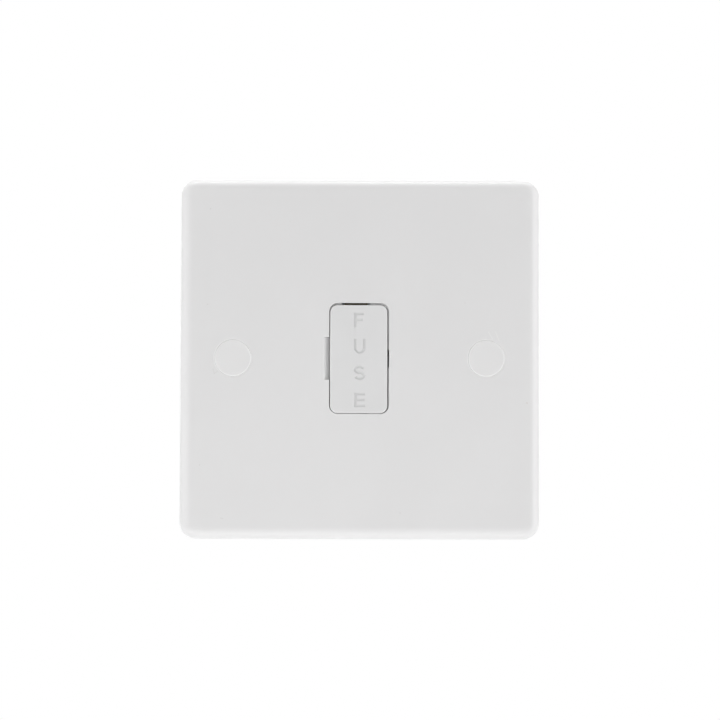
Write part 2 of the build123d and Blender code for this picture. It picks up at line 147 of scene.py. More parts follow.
def makeMouldedSkin():
    group, given, out = newGroup("mouldedSkin", {"grain": 900.0, "flow": 28.0},
                                 {"mottle": "NodeSocketFloat", "height": "NodeSocketFloat"})
    place = objectPlace(group)
    flow = addNode(group, "ShaderNodeTexNoise", {"Detail": 3.0, "Roughness": 0.55, "Distortion": 0.6})
    group.links.new(place, flow.inputs["Vector"])
    group.links.new(given.outputs["flow"], flow.inputs["Scale"])
    fine = addNode(group, "ShaderNodeTexNoise", {"Detail": 4.0, "Roughness": 0.6})
    group.links.new(place, fine.inputs["Vector"])
    group.links.new(given.outputs["grain"], fine.inputs["Scale"])
    pits = addNode(group, "ShaderNodeTexVoronoi", {"Randomness": 1.0})
    group.links.new(place, pits.inputs["Vector"])
    group.links.new(given.outputs["grain"], pits.inputs["Scale"])
    dimple = rampNode(group, pits.outputs["Distance"], 0.0, 0.5)
    height = mathNode(group, "ADD", product(group, fine.outputs["Fac"], 0.7), product(group, dimple, 0.3))
    group.links.new(flow.outputs["Fac"], out.inputs["mottle"])
    group.links.new(height, out.inputs["height"])
    return group


def makeEdgeRub():
    group, given, out = newGroup("edgeRub", {"radius": 0.0003, "strength": 1.0}, {"mask": "NodeSocketFloat"})
    rounded = addNode(group, "ShaderNodeBevel", samples=6)
    group.links.new(given.outputs["radius"], rounded.inputs["Radius"])
    true = addNode(group, "ShaderNodeNewGeometry").outputs["Normal"]
    dot = addNode(group, "ShaderNodeVectorMath", operation="DOT_PRODUCT")
    group.links.new(rounded.outputs["Normal"], dot.inputs[0])
    group.links.new(true, dot.inputs[1])
    bend = rampNode(group, mathNode(group, "SUBTRACT", 1.0, dot.outputs["Value"]), 0.01, 0.25)
    breakUp = addNode(group, "ShaderNodeTexNoise", {"Scale": 420.0, "Detail": 3.0})
    group.links.new(objectPlace(group), breakUp.inputs["Vector"])
    uneven = rampNode(group, breakUp.outputs["Fac"], 0.3, 0.7, 0.35, 1.0)
    mask = mathNode(group, "MULTIPLY", product(group, bend, uneven), given.outputs["strength"], clamp=True)
    group.links.new(mask, out.inputs["mask"])
    return group


def makeDust():
    group, given, out = newGroup("dust", {"scale": 260.0, "amount": 0.04}, {"mask": "NodeSocketFloat"})
    place = objectPlace(group)
    cells = addNode(group, "ShaderNodeTexVoronoi", {"Randomness": 1.0})
    group.links.new(place, cells.inputs["Vector"])
    group.links.new(given.outputs["scale"], cells.inputs["Scale"])
    spot = rampNode(group, cells.outputs["Distance"], 0.03, 0.10, 1.0, 0.0)
    tone = addNode(group, "ShaderNodeSeparateColor")
    group.links.new(cells.outputs["Color"], tone.inputs["Color"])
    chosen = mathNode(group, "LESS_THAN", tone.outputs["Red"], given.outputs["amount"])
    group.links.new(product(group, spot, chosen), out.inputs["mask"])
    return group


def makeRolledMetal():
    group, given, out = newGroup("rolledMetal", {"scale": 160.0, "stretch": 14.0},
                                 {"streak": "NodeSocketFloat", "tarnish": "NodeSocketFloat"})
    place = objectPlace(group)
    squeeze = addNode(group, "ShaderNodeCombineXYZ", {"Y": 1.0, "Z": 1.0})
    group.links.new(given.outputs["stretch"], squeeze.inputs["X"])
    scaled = addNode(group, "ShaderNodeVectorMath", operation="MULTIPLY")
    group.links.new(place, scaled.inputs[0])
    group.links.new(squeeze.outputs["Vector"], scaled.inputs[1])
    lines = addNode(group, "ShaderNodeTexNoise", {"Detail": 4.0, "Roughness": 0.65})
    group.links.new(scaled.outputs["Vector"], lines.inputs["Vector"])
    group.links.new(given.outputs["scale"], lines.inputs["Scale"])
    patches = {"Scale": 190.0, "Detail": 5.0, "Roughness": 0.6, "Distortion": 0.8}
    blotch = addNode(group, "ShaderNodeTexNoise", patches)
    group.links.new(place, blotch.inputs["Vector"])
    group.links.new(lines.outputs["Fac"], out.inputs["streak"])
    group.links.new(rampNode(group, blotch.outputs["Fac"], 0.42, 0.72), out.inputs["tarnish"])
    return group


def makeScuff():
    # A mark along a short line on the front, strongest on the line and gone at its width
    inputs = {"start": (0.0, 0.0, 0.0), "end": (0.001, 0.0, 0.0), "width": 0.0002, "front": -0.008}
    group, given, out = newGroup("scuff", inputs, {"mask": "NodeSocketFloat"})

    def vectorNode(operation, first, second=None):
        node = addNode(group, "ShaderNodeVectorMath", operation=operation)
        for index, value in enumerate((first, second)):
            if value is not None:
                group.links.new(value, node.inputs[index])
        return node

    parts = placeParts(group)
    along = vectorNode("SUBTRACT", given.outputs["end"], given.outputs["start"]).outputs["Vector"]
    reach = vectorNode("SUBTRACT", flatPlace(group, parts), given.outputs["start"]).outputs["Vector"]
    share = mathNode(group, "DIVIDE", vectorNode("DOT_PRODUCT", reach, along).outputs["Value"],
                     vectorNode("DOT_PRODUCT", along, along).outputs["Value"], clamp=True)
    nearest = addNode(group, "ShaderNodeVectorMath", operation="SCALE")
    group.links.new(along, nearest.inputs[0])
    group.links.new(share, nearest.inputs["Scale"])
    away = vectorNode("DISTANCE", reach, nearest.outputs["Vector"]).outputs["Value"]
    widths = mathNode(group, "DIVIDE", away, given.outputs["width"], clamp=True)
    onFront = mathNode(group, "LESS_THAN", parts["Y"], given.outputs["front"])
    faded = rampNode(group, widths, 0.0, 1.0, 1.0, 0.0)
    group.links.new(product(group, faded, onFront), out.inputs["mask"])
    return group


def makeCrown():
    # The slight fall of a moulded face towards its side edges, and its rise below the top edge, in metres
    group, given, out = newGroup("crown", {"half": 0.043, "band": 0.007, "drop": 0.0001, "rise": 0.0001},
                                 {"height": "NodeSocketFloat"})
    parts = placeParts(group)

    def nearEdge(distance):
        inside = mathNode(group, "SUBTRACT", given.outputs["half"], distance)
        bands = mathNode(group, "DIVIDE", inside, given.outputs["band"])
        return mathNode(group, "POWER", mathNode(group, "SUBTRACT", 1.0, bands, clamp=True), 2.0)

    sides = product(group, nearEdge(mathNode(group, "ABSOLUTE", parts["X"])), given.outputs["drop"])
    top = product(group, nearEdge(parts["Z"]), given.outputs["rise"])
    group.links.new(mathNode(group, "SUBTRACT", top, sides), out.inputs["height"])
    return group


mouldedSkin = makeMouldedSkin()
edgeRub = makeEdgeRub()
dust = makeDust()
rolledMetal = makeRolledMetal()
scuff = makeScuff()
crown = makeCrown()


def newMaterial(name):
    material = bpy.data.materials.new(name)
    material.use_nodes = True
    return material, material.node_tree, material.node_tree.nodes["Principled BSDF"]


def roundedNormal(tree, shader, radius, *heights):
    # A rounded edge, then each height field with the distance it is worth
    normal = addNode(tree, "ShaderNodeBevel", {"Radius": radius}, samples=6).outputs["Normal"]
    for height, distance in heights:
        bump = addNode(tree, "ShaderNodeBump", {"Strength": 1.0, "Distance": distance})
        tree.links.new(height, bump.inputs["Height"])
        tree.links.new(normal, bump.inputs["Normal"])
        normal = bump.outputs["Normal"]
    tree.links.new(normal, shader.inputs["Normal"])


# Mouldings

mouldings = {  # glow is the share of light that enters the plastic, and glowDepth how far it creeps
    "plate": {"colour": (0.702, 0.699, 0.700), "shade": 0.985, "rough": 0.34, "roughVary": 0.05,
              "grain": 1500.0, "flow": 26.0, "bump": 0.0000012, "edge": 0.00012, "dust": 0.010,
              "glow": 0.60, "glowDepth": 0.50 * mm, "drop": 0.12 * mm, "rise": 0.22 * mm},
    "screw_cap": {"colour": (0.722, 0.719, 0.719), "shade": 1.0, "rough": 0.27, "roughVary": 0.005,
                  "grain": 900.0, "flow": 15.0, "bump": 0.0000004, "edge": 0.00008, "dust": 0.0,
                  "glow": 0.80, "glowDepth": 0.20 * mm},
    "carrier": {"colour": (0.681, 0.680, 0.681), "shade": 0.985, "rough": 0.36, "roughVary": 0.05,
                "grain": 1700.0, "flow": 60.0, "bump": 0.0000014, "edge": 0.00010, "dust": 0.006,
                "glow": 0.60, "glowDepth": 0.50 * mm},
    "housing": {"colour": (0.675, 0.672, 0.655), "shade": 0.965, "rough": 0.52, "roughVary": 0.08,
                "grain": 700.0, "flow": 45.0, "bump": 0.000004, "edge": 0.00018, "dust": 0.02,
                "glow": 0.0, "glowDepth": 0.50 * mm},
}
plastic = {"refraction": 1.55, "speckScale": 240.0, "speckStrength": 0.25, "speckTone": (0.42, 0.40, 0.37)}

# Handling marks on the plate's face: a line from its start to its end, from the centre in millimetres
markTones = {"rub": (0.55, 0.54, 0.53), "nick": (0.50, 0.47, 0.46), "pale": (0.80, 0.80, 0.79),
             "speck": (0.48, 0.47, 0.46), "dark": (0.50, 0.49, 0.48), "brown": (0.48, 0.40, 0.33)}
scuffs = {
    "crescentLeft": {"line": (-34.86, -2.61, -34.55, -3.71), "width": 0.22, "tone": "rub", "amount": 0.30},
    "crescentRight": {"line": (-34.55, -3.71, -33.78, -3.11), "width": 0.22, "tone": "rub", "amount": 0.30},
    "nick": {"line": (-33.60, 2.40, -33.40, 2.58), "width": 0.26, "tone": "nick", "amount": 0.40},
    "scratchNear": {"line": (30.60, 6.38, 31.64, 4.64), "width": 0.20, "tone": "pale", "amount": 0.45},
    "scratchFar": {"line": (32.33, 6.38, 33.14, 4.28), "width": 0.20, "tone": "pale", "amount": 0.40},
    "speckTop": {"line": (-35.70, 35.60, -35.62, 35.68), "width": 0.24, "tone": "speck", "amount": 0.40},
    "speckMiddle": {"line": (-36.30, 12.75, -36.22, 12.83), "width": 0.22, "tone": "speck", "amount": 0.35},
    "speckLow": {"line": (-37.98, -25.50, -37.90, -25.40), "width": 0.22, "tone": "speck", "amount": 0.35},
    "scratchLow": {"line": (-32.90, -38.00, -32.30, -38.16), "width": 0.18, "tone": "dark", "amount": 0.35},
    "brownSpeck": {"line": (39.75, -10.50, 39.83, -10.58), "width": 0.26, "tone": "brown", "amount": 0.40},
    "speckFoot": {"line": (9.63, -36.70, 9.71, -36.74), "width": 0.22, "tone": "speck", "amount": 0.35},
}

# Painted light: both edges round a screw cap are painted pale, standing in for light that comes through the
# thin white plastic and lifting the shade in the gap; the ring is shifted a little up and to the left of each
# cap's centre
rimLightPaint = {"inner": 4.08 * mm, "outer": 4.64 * mm, "fade": 0.20 * mm, "shift": (-0.07 * mm, 0.07 * mm),
            "depth": 1.2 * mm, "tone": (0.92, 0.92, 0.92), "amount": 0.55}


def paintRimLight(tree, colour):
    look = rimLightPaint
    parts = placeParts(tree)
    flat = flatPlace(tree, parts)
    onFront = mathNode(tree, "LESS_THAN", parts["Y"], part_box("screw_cap_left")[0].y + look["depth"])
    distances = []
    for cap in ("screw_cap_left", "screw_cap_right"):
        low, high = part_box(cap)
        centre = ((low.x + high.x) / 2 + look["shift"][0], 0.0, (low.z + high.z) / 2 + look["shift"][1])
        away = addNode(tree, "ShaderNodeVectorMath", operation="DISTANCE")
        tree.links.new(flat, away.inputs[0])
        away.inputs[1].default_value = centre
        distances.append(away.outputs["Value"])
    radius = mathNode(tree, "MINIMUM", *distances)
    # Painted highlight: this ring is mixed towards a pale tone over the cap's rim and the gap round it
    ring = product(tree, rampNode(tree, radius, look["inner"], look["inner"] + look["fade"]),
                   rampNode(tree, radius, look["outer"] - look["fade"], look["outer"], 1.0, 0.0))
    return mixColour(tree, product(tree, ring, onFront, look["amount"]), colour, look["tone"])


def markPlateAndPaintRimLight(tree, colour):
    # First the painted highlight round both screw caps, then the handling marks
    colour = paintRimLight(tree, colour)
    for name, mark in scuffs.items():
        startX, startZ, endX, endZ = (value * mm for value in mark["line"])
        line = useGroup(tree, scuff, start=(startX, 0.0, startZ), end=(endX, 0.0, endZ),
                        width=mark["width"] * mm)
        line.label = name
        mask = product(tree, line.outputs["mask"], mark["amount"])
        colour = mixColour(tree, mask, colour, markTones[mark["tone"]])
    return colour


# Painted shade: the sunk floor of the engraved letters is painted a touch greyer than the face round it, for
# the shade in the recess
letterPaintedShade = {"from": 0.02 * mm, "to": 0.25 * mm, "halfWidth": 1.8 * mm, "tone": (0.622, 0.621, 0.622)}


def paintLetterShade(tree, colour):
    look, parts = letterPaintedShade, placeParts(tree)
    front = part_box("fuse_carrier")[0].y
    sunk = product(tree, mathNode(tree, "GREATER_THAN", parts["Y"], front + look["from"]),
                   mathNode(tree, "LESS_THAN", parts["Y"], front + look["to"]))
    inside = mathNode(tree, "LESS_THAN", mathNode(tree, "ABSOLUTE", parts["X"]), look["halfWidth"])
    # Painted shade on the letters' sunk floor
    return mixColour(tree, product(tree, sunk, inside), colour, look["tone"])


def makeMoulding(slot, look, markAndLight=None):
    material, tree, shader = newMaterial(slot + "Moulding")
    skin = useGroup(tree, mouldedSkin, grain=look["grain"], flow=look["flow"])
    darker = tuple(channel * look["shade"] for channel in look["colour"])
    colour = mixColour(tree, rampNode(tree, skin.outputs["mottle"], 0.3, 0.7), darker, look["colour"])
    specks = useGroup(tree, dust, scale=plastic["speckScale"], amount=look["dust"])
    specked = product(tree, specks.outputs["mask"], plastic["speckStrength"])
    colour = mixColour(tree, specked, colour, plastic["speckTone"])
    # Handling marks, and painted light and shade, where a moulding has them
    if markAndLight:
        colour = markAndLight(tree, colour)
    tree.links.new(colour, shader.inputs["Base Color"])
    rough = rampNode(tree, skin.outputs["mottle"], 0.25, 0.75, look["rough"] - look["roughVary"],
                     look["rough"] + look["roughVary"])
    tree.links.new(rough, shader.inputs["Roughness"])
    shader.inputs["IOR"].default_value = plastic["refraction"]
    shader.inputs["Subsurface Weight"].default_value = look["glow"]
    shader.inputs["Subsurface Radius"].default_value = (1.0, 1.0, 1.0)
    shader.inputs["Subsurface Scale"].default_value = look["glowDepth"]
    heights = [(skin.outputs["height"], look["bump"])]
    if "drop" in look:
        heights.append((useGroup(tree, crown, drop=look["drop"], rise=look["rise"]).outputs["height"], 1.0))
    roundedNormal(tree, shader, look["edge"], *heights)
    return material


# Metals and ceramic

metals = {
    "strip_brass": {"colour": (0.560, 0.410, 0.215), "dull": (0.330, 0.225, 0.120),
                    "rub": (0.800, 0.600, 0.300), "rough": 0.30, "scale": 300.0, "stretch": 9.0,
                    "edge": 0.00008, "bump": 0.0000020},
    "terminal_brass": {"colour": (0.660, 0.450, 0.185), "dull": (0.450, 0.290, 0.110),
                       "rub": (0.820, 0.620, 0.320), "rough": 0.36, "scale": 220.0, "stretch": 5.0,
                       "edge": 0.00014, "bump": 0.0000030},
    "terminal_screw": {"colour": (0.560, 0.545, 0.500), "dull": (0.400, 0.385, 0.330),
                       "rub": (0.760, 0.750, 0.720), "rough": 0.33, "scale": 420.0, "stretch": 3.0,
                       "edge": 0.00010, "bump": 0.0000016},
    "zinc_steel": {"colour": (0.560, 0.565, 0.575), "dull": (0.380, 0.385, 0.400),
                   "rub": (0.770, 0.775, 0.780), "rough": 0.31, "scale": 380.0, "stretch": 3.0,
                   "edge": 0.00010, "bump": 0.0000016},
    "fuse_cap": {"colour": (0.640, 0.620, 0.570), "dull": (0.520, 0.495, 0.440),
                 "rub": (0.800, 0.790, 0.760), "rough": 0.20, "scale": 500.0, "stretch": 1.0,
                 "edge": 0.00006, "bump": 0.0000006},
}
# How far edges are rubbed and faces tarnished, and how the roughness follows the rolling streaks
wear = {"rubWidth": 2.0, "rub": 0.8, "tarnish": 0.6, "tarnishRough": 0.2, "smoother": 0.08, "rougher": 0.10}


def makeMetal(slot, look):
    material, tree, shader = newMaterial(slot + "Metal")
    rolled = useGroup(tree, rolledMetal, scale=look["scale"], stretch=look["stretch"])
    rub = useGroup(tree, edgeRub, radius=look["edge"] * wear["rubWidth"], strength=wear["rub"])
    dull = product(tree, rolled.outputs["tarnish"], wear["tarnish"])
    colour = mixColour(tree, dull, look["colour"], look["dull"])
    colour = mixColour(tree, rub.outputs["mask"], colour, look["rub"])
    tree.links.new(colour, shader.inputs["Base Color"])
    shader.inputs["Metallic"].default_value = 1.0
    rough = rampNode(tree, rolled.outputs["streak"], 0.2, 0.8, look["rough"] - wear["smoother"],
                     look["rough"] + wear["rougher"])
    rough = mathNode(tree, "ADD", rough, product(tree, dull, wear["tarnishRough"]))
    tree.links.new(rough, shader.inputs["Roughness"])
    roundedNormal(tree, shader, look["edge"], (rolled.outputs["streak"], look["bump"]))
    return material


glaze = {"grain": 1200.0, "flow": 220.0, "dark": (0.74, 0.725, 0.68), "light": (0.80, 0.79, 0.755),
         "rough": (0.16, 0.30), "edge": 0.0001, "bump": 0.000003}


def makeCeramic(look):
    material, tree, shader = newMaterial("ceramicBarrel")
    skin = useGroup(tree, mouldedSkin, grain=look["grain"], flow=look["flow"])
    mottle = skin.outputs["mottle"]
    colour = mixColour(tree, rampNode(tree, mottle, 0.35, 0.7), look["dark"], look["light"])
    tree.links.new(colour, shader.inputs["Base Color"])
    tree.links.new(rampNode(tree, mottle, 0.2, 0.8, *look["rough"]), shader.inputs["Roughness"])
    roundedNormal(tree, shader, look["edge"], (skin.outputs["height"], look["bump"]))
    return material


# The plate gets handling marks and a painted highlight round its caps, the drawer painted shade in its
# letters, and the caps a painted highlight at their rims
marksAndPaintedLight = {"plate": markPlateAndPaintRimLight, "carrier": paintLetterShade, "screw_cap": paintRimLight}
materials = {slot: makeMoulding(slot, look, marksAndPaintedLight.get(slot)) for slot, look in mouldings.items()}
materials.update({slot: makeMetal(slot, look) for slot, look in metals.items()})
materials["ceramic"] = makeCeramic(glaze)
for name, node in nodes.items():
    node.data.materials.clear()
    node.data.materials.append(materials[slotOf[name]])
print("materials:", len(materials))


# New pieces that take a CAD node's place

def linkPiece(name, mesh, slot, body, replaced):
    piece = addObject(name, mesh)
    mesh.materials.clear()
    mesh.materials.append(materials[slot])
    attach(piece, body)
    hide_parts(*replaced)
    return piece


def bakeModifiers(piece):
    grown = piece.evaluated_get(bpy.context.evaluated_depsgraph_get())
    mesh = bpy.data.meshes.new_from_object(grown)
    bpy.data.objects.remove(piece)
    return mesh


smoothWithin = {"moulding": 32, "screw": 38}  # edges that turn by more degrees stay sharp


def flattenShading(mesh, degrees):
    # Large flat faces keep their own normal, and only the rounded edges between them blend
    mesh.shade_smooth()
    mesh.set_sharp_from_angle(angle=math.radians(degrees))
    piece = addObject(mesh.name, mesh)
    weigh = piece.modifiers.new("flatFirst", "WEIGHTED_NORMAL")
    weigh.mode, weigh.weight, weigh.keep_sharp = "FACE_AREA", 100, True
    return bakeModifiers(piece)


# Copies of a CAD node with doubled points merged and flat faces joined
cleaning = {"merge": 0.0005 * mm, "flatWithin": 0.3}


def builtObject(builder, name):
    mesh = bpy.data.meshes.new(name)
    builder.to_mesh(mesh)
    builder.free()
    return addObject(name, mesh)


def mergedCopy(node, name):
    builder = bmesh.new()
    builder.from_mesh(nodes[node].data)
    bmesh.ops.remove_doubles(builder, verts=builder.verts, dist=cleaning["merge"])
    bmesh.ops.dissolve_limit(builder, angle_limit=math.radians(cleaning["flatWithin"]), verts=builder.verts,
                             edges=builder.edges)
    return builtObject(builder, name)


# The drawer's word, engraved with own plain strokes, one letter under the other

lettering = {"height": 3.46 * mm, "stroke": 0.66 * mm, "draft": 0.14 * mm, "depth": 0.13 * mm,
             "arcPoints": 14, "tailAngle": 25,  # where the S ends, in degrees
             "middleBar": {"F": (0.49, 0.92), "E": (0.50, 0.95)},  # its height and length, as shares
             "letters": {"F": (-1.38, 10.92, 2.30), "U": (-1.40, 4.56, 2.84), "S": (-1.46, -1.69, 2.83),
                         "E": (-1.25, -8.18, 2.56)}}  # left, top and width of each letter, in millimetres


def arcPoints(centre, radii, start, end, count):
    points = []
    for step in range(count + 1):
        angle = math.radians(start + (end - start) * step / count)
        points.append((centre[0] + radii[0] * math.cos(angle), centre[1] + radii[1] * math.sin(angle)))
    return points


def letterStrokes(letter, width, look):
    # Centre lines of the strokes, from the letter's lower left corner
    height, half, count = look["height"], look["stroke"] / 2, look["arcPoints"]
    low, high, left, right = half, height - half, half, width - half
    if letter == "U":
        bowl = (right - left) / 2
        foot = arcPoints((width / 2, low + bowl), (bowl, bowl), 180, 360, count)
        return [[(left, height)] + foot + [(right, height)]]
    if letter == "S":
        bowl = (high - low) / 4
        radii = ((right - left) / 2, bowl)
        upper = arcPoints((width / 2, high - bowl), radii, look["tailAngle"], 270, count)
        lower = arcPoints((width / 2, low + bowl), radii, 90, look["tailAngle"] - 180, count)
        return [upper + lower[1:]]
    middle, reach = look["middleBar"][letter]
    bars = [[(0.0, high), (width, high)], [(left, height * middle), (width * reach, height * middle)]]
    if letter == "E":
        bars.append([(0.0, low), (width, low)])
    return [[(left, 0.0), (left, height)]] + bars


def strokeSolid(builder, points, place, front, look):
    # A drafted bar that follows the points, a little proud of the face and sunk by the depth
    rings = []
    for index, (x, z) in enumerate(points):
        before, after = points[max(index - 1, 0)], points[min(index + 1, len(points) - 1)]
        way = Vector((after[0] - before[0], after[1] - before[1])).normalized()
        side = Vector((-way.y, way.x))
        ring = []
        for depth in (-look["depth"], look["depth"]):
            reach = (look["stroke"] - look["draft"] * depth / look["depth"]) / 2
            for sign in ((-1, 1) if depth < 0 else (1, -1)):
                ring.append(builder.verts.new((place[0] + x + sign * side.x * reach, front + depth,
                                               place[1] + z + sign * side.y * reach)))
        rings.append(ring)
    for ring, following in zip(rings, rings[1:]):
        for corner in range(4):
            beside = (corner + 1) % 4
            builder.faces.new((ring[corner], ring[beside], following[beside], following[corner]))
    builder.faces.new(rings[0][::-1])
    builder.faces.new(rings[-1])


def engraveDrawer(look):
    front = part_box("fuse_carrier")[0].y
    drawer = mergedCopy("fuse_carrier", "engravedDrawer")
    cutters = []
    for letter, (left, top, width) in look["letters"].items():
        place = (left * mm, top * mm - look["height"])
        for points in letterStrokes(letter, width * mm, look):
            builder = bmesh.new()
            strokeSolid(builder, points, place, front, look)
            bmesh.ops.recalc_face_normals(builder, faces=builder.faces)
            cutters.append(builtObject(builder, "stroke"))
            cut = drawer.modifiers.new("stroke", "BOOLEAN")
            cut.operation, cut.solver, cut.object = "DIFFERENCE", "EXACT", cutters[-1]
    mesh = bakeModifiers(drawer)
    for cutter in cutters:
        bpy.data.objects.remove(cutter)
    mesh = flattenShading(mesh, smoothWithin["moulding"])
    return linkPiece("engravedDrawer", mesh, "carrier", bodyOf["fuse_carrier"], ("fuse_carrier",))


drawer = engraveDrawer(lettering)
print("drawer engraved:", len(drawer.data.polygons), "faces")


# Screw caps, with their flat discs shaded flat

def makeCap(node, name):
    mesh = flattenShading(bakeModifiers(mergedCopy(node, name)), smoothWithin["moulding"])
    linkPiece(name, mesh, slotOf[node], bodyOf[node], (node,))


for side in ("left", "right"):
    makeCap("screw_cap_" + side, side + "ScrewCap")
print("screw caps shaded")


# Screws with real helical threads, all from one tree

screwKinds = {
    "terminal": {"Head diameter": 5.8 * mm, "Head height": 2.0 * mm, "Head rounding": 0.4 * mm,
                 "Recess width": 1.0 * mm, "Recess reach": 6.4 * mm, "Recess depth": 1.1 * mm, "Cross": False,
                 "Shank diameter": 3.5 * mm, "Thread depth": 0.30 * mm, "Thread pitch": 0.6 * mm,
                 "Point": 0.4 * mm},
    "housing": {"Head diameter": 4.8 * mm, "Head height": 1.7 * mm, "Head rounding": 0.8 * mm,
                "Recess width": 0.7 * mm, "Recess reach": 2.8 * mm, "Recess depth": 1.0 * mm, "Cross": True,
                "Shank diameter": 2.9 * mm, "Thread depth": 0.42 * mm, "Thread pitch": 1.06 * mm,
                "Point": 0.7 * mm},
}
# Crest and root are where a thread's flank starts and ends, as shares of the pitch from the crest's middle
screwMesh = {"sides": 48, "rowsInTurn": 10, "headRows": 20, "crest": 0.08, "root": 0.42}


def makeScrewTree():
    tree = bpy.data.node_groups.new("threadedScrew", "GeometryNodeTree")
    lengths = ("Head diameter", "Head height", "Head rounding", "Recess width", "Recess reach",
               "Recess depth", "Shank diameter", "Shank length", "Thread depth", "Thread pitch", "Point",
               "Column spacing", "Row spacing")
    for label in lengths:
        tree.interface.new_socket(label, in_out="INPUT", socket_type="NodeSocketFloat")
    for label in ("Sides", "Rows in a turn", "Columns", "Rows"):
        tree.interface.new_socket(label, in_out="INPUT", socket_type="NodeSocketInt")
    tree.interface.new_socket("Cross", in_out="INPUT", socket_type="NodeSocketBool")
    tree.interface.new_socket("Place", in_out="INPUT", socket_type="NodeSocketVector")
    tree.interface.new_socket("Finish", in_out="INPUT", socket_type="NodeSocketMaterial")
    tree.interface.new_socket("Geometry", in_out="OUTPUT", socket_type="NodeSocketGeometry")
    given = tree.nodes.new("NodeGroupInput").outputs
    out = tree.nodes.new("NodeGroupOutput").inputs

    def calc(operation, *values):
        return mathNode(tree, operation, *values)

    def linked(kind, values, **settings):
        node = addNode(tree, kind, **settings)
        for key, value in values.items():
            if isinstance(value, bpy.types.NodeSocket):
                tree.links.new(value, node.inputs[key])
            else:
                node.inputs[key].default_value = value
        return node

    def turned(lathe, radius, height, rows):
        # A capped cylinder from z = 0 up, whose radius at each height comes from the lathe function
        blank = linked("GeometryNodeMeshCylinder", {"Vertices": given["Sides"], "Side Segments": rows,
                                                    "Radius": radius, "Depth": height})
        raised = linked("GeometryNodeTransform", {"Geometry": blank.outputs["Mesh"]})
        lift = linked("ShaderNodeCombineXYZ", {"Z": calc("MULTIPLY", height, 0.5)})
        tree.links.new(lift.outputs["Vector"], raised.inputs["Translation"])
        place = addNode(tree, "GeometryNodeInputPosition").outputs["Position"]
        axis = linked("ShaderNodeSeparateXYZ", {"Vector": place}).outputs
        angle = calc("ARCTAN2", axis["Y"], axis["X"])
        reach = lathe(axis["Z"], angle)
        moved = linked("ShaderNodeCombineXYZ", {
            "X": calc("MULTIPLY", reach, calc("COSINE", angle)),
            "Y": calc("MULTIPLY", reach, calc("SINE", angle)),
            "Z": axis["Z"],
        })
        return linked("GeometryNodeSetPosition", {"Geometry": raised.outputs["Geometry"],
                                                  "Position": moved.outputs["Vector"]}).outputs["Geometry"]

    shankRadius = calc("MULTIPLY", given["Shank diameter"], 0.5)
    headRadius = calc("MULTIPLY", given["Head diameter"], 0.5)
    shankTurns = calc("DIVIDE", given["Shank length"], given["Thread pitch"])
    rowCount = calc("MULTIPLY", shankTurns, given["Rows in a turn"])
    shankRows = linked("FunctionNodeFloatToInt", {"Float": rowCount})

    def threadedShank(height, angle):
        turns = calc("DIVIDE", height, given["Thread pitch"])
        phase = calc("FRACT", calc("SUBTRACT", turns, calc("DIVIDE", angle, 2 * math.pi)))
        flank = calc("ABSOLUTE", calc("SUBTRACT", phase, 0.5))
        groove = linked("ShaderNodeMapRange", {"Value": flank, "From Min": screwMesh["crest"],
                                               "From Max": screwMesh["root"], "To Min": 0.0,
                                               "To Max": 1.0}).outputs["Result"]
        cut = calc("SUBTRACT", shankRadius, calc("MULTIPLY", groove, given["Thread depth"]))
        cone = calc("ADD", calc("SUBTRACT", shankRadius, given["Point"]), height)
        return calc("MINIMUM", cut, cone)

    def roundedHead(height, angle):
        straight = calc("SUBTRACT", given["Head height"], given["Head rounding"])
        climb = calc("MAXIMUM", calc("SUBTRACT", height, straight), 0.0)
        inside = calc("SUBTRACT", calc("POWER", given["Head rounding"], 2.0), calc("POWER", climb, 2.0))
        arc = calc("SQRT", calc("MAXIMUM", inside, 0.0))
        return calc("ADD", calc("SUBTRACT", headRadius, given["Head rounding"]), arc)

    shank = turned(threadedShank, shankRadius, given["Shank length"], shankRows.outputs["Integer"])
    head = turned(roundedHead, headRadius, given["Head height"], screwMesh["headRows"])
    onShank = linked("ShaderNodeCombineXYZ", {"Z": given["Shank length"]}).outputs["Vector"]
    head = linked("GeometryNodeTransform", {"Geometry": head, "Translation": onShank}).outputs["Geometry"]

    size = linked("ShaderNodeCombineXYZ", {"X": given["Recess reach"], "Y": given["Recess width"],
                                           "Z": calc("MULTIPLY", given["Recess depth"], 2.0)})
    bar = linked("GeometryNodeMeshCube", {"Size": size.outputs["Vector"]}).outputs["Mesh"]
    quarter = linked("GeometryNodeTransform", {"Geometry": bar, "Rotation": (0.0, 0.0, math.pi / 2)})
    second = addNode(tree, "GeometryNodeSwitch", input_type="GEOMETRY")
    tree.links.new(given["Cross"], second.inputs["Switch"])
    tree.links.new(quarter.outputs["Geometry"], second.inputs["True"])
    bars = addNode(tree, "GeometryNodeMeshBoolean", operation="UNION", solver="EXACT")
    for part in (second.outputs["Output"], bar):
        tree.links.new(part, bars.inputs["Mesh 2"])
    top = calc("ADD", given["Shank length"], given["Head height"])
    onHead = linked("ShaderNodeCombineXYZ", {"Z": top}).outputs["Vector"]
    recess = linked("GeometryNodeTransform", {"Geometry": bars.outputs["Mesh"], "Translation": onHead})
    cutHead = addNode(tree, "GeometryNodeMeshBoolean", operation="DIFFERENCE", solver="EXACT")
    tree.links.new(head, cutHead.inputs["Mesh 1"])
    tree.links.new(recess.outputs["Geometry"], cutHead.inputs["Mesh 2"])
    screw = addNode(tree, "GeometryNodeMeshBoolean", operation="UNION", solver="EXACT")
    for part in (cutHead.outputs["Mesh"], shank):
        tree.links.new(part, screw.inputs["Mesh 2"])

